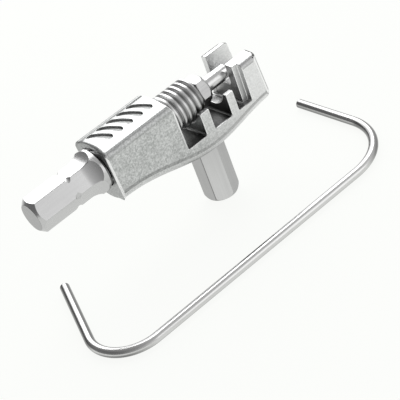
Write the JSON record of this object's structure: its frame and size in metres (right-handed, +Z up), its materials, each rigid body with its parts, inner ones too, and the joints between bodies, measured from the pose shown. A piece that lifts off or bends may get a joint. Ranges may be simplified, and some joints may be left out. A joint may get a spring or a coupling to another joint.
{
  "type": "bicycle chain tool",
  "caption": "Bicycle chain tool: hex-shank screw drives a push pin across an open chain cradle in a cast body with a hex stub, with a loose wire chain hook beside it.",
  "frame": {"origin": "middle of the flat end of the hex stub", "axes": "+X along the screw towards the end block, +Y from the front face to the far face, +Z up out of the chain cradle"},
  "size_m": [0.0729, 0.0306, 0.0279],
  "materials": {
    "body": "bead-blasted satin casting",
    "screw": "satin plated",
    "nut": "satin plated",
    "pin": "ground",
    "stub": "satin plated",
    "wire": "bright wire"
  },
  "bodies": {
    "tool_body": {"body": "body", "hex_stub": "stub"},
    "pin_carriage": {"push_pin": "pin"},
    "screw": {"drive_screw": "screw", "pin_nut": "nut"},
    "hook": {"chain_hook": "wire"}
  },
  "joints": [
    {"name": "screw_travel", "type": "slide", "parent": "tool_body", "child": "pin_carriage", "axis": [1, 0, 0], "range_m": [-0.0125, 0]},
    {"name": "screw_turn", "type": "hinge", "parent": "pin_carriage", "child": "screw", "pos_m": [0, 0, 0.0226], "axis": [1, 0, 0], "range_deg": [-3600, 0]},
    {"name": "hook_lift", "type": "slide", "parent": "tool_body", "child": "hook", "axis": [0, -0.6, 0.8], "range_m": [0, 0.05]}
  ],
  "couplings": [
    {"joint": "screw_turn", "follows": "screw_travel", "rad_per_m": 5026.5}
  ]
}
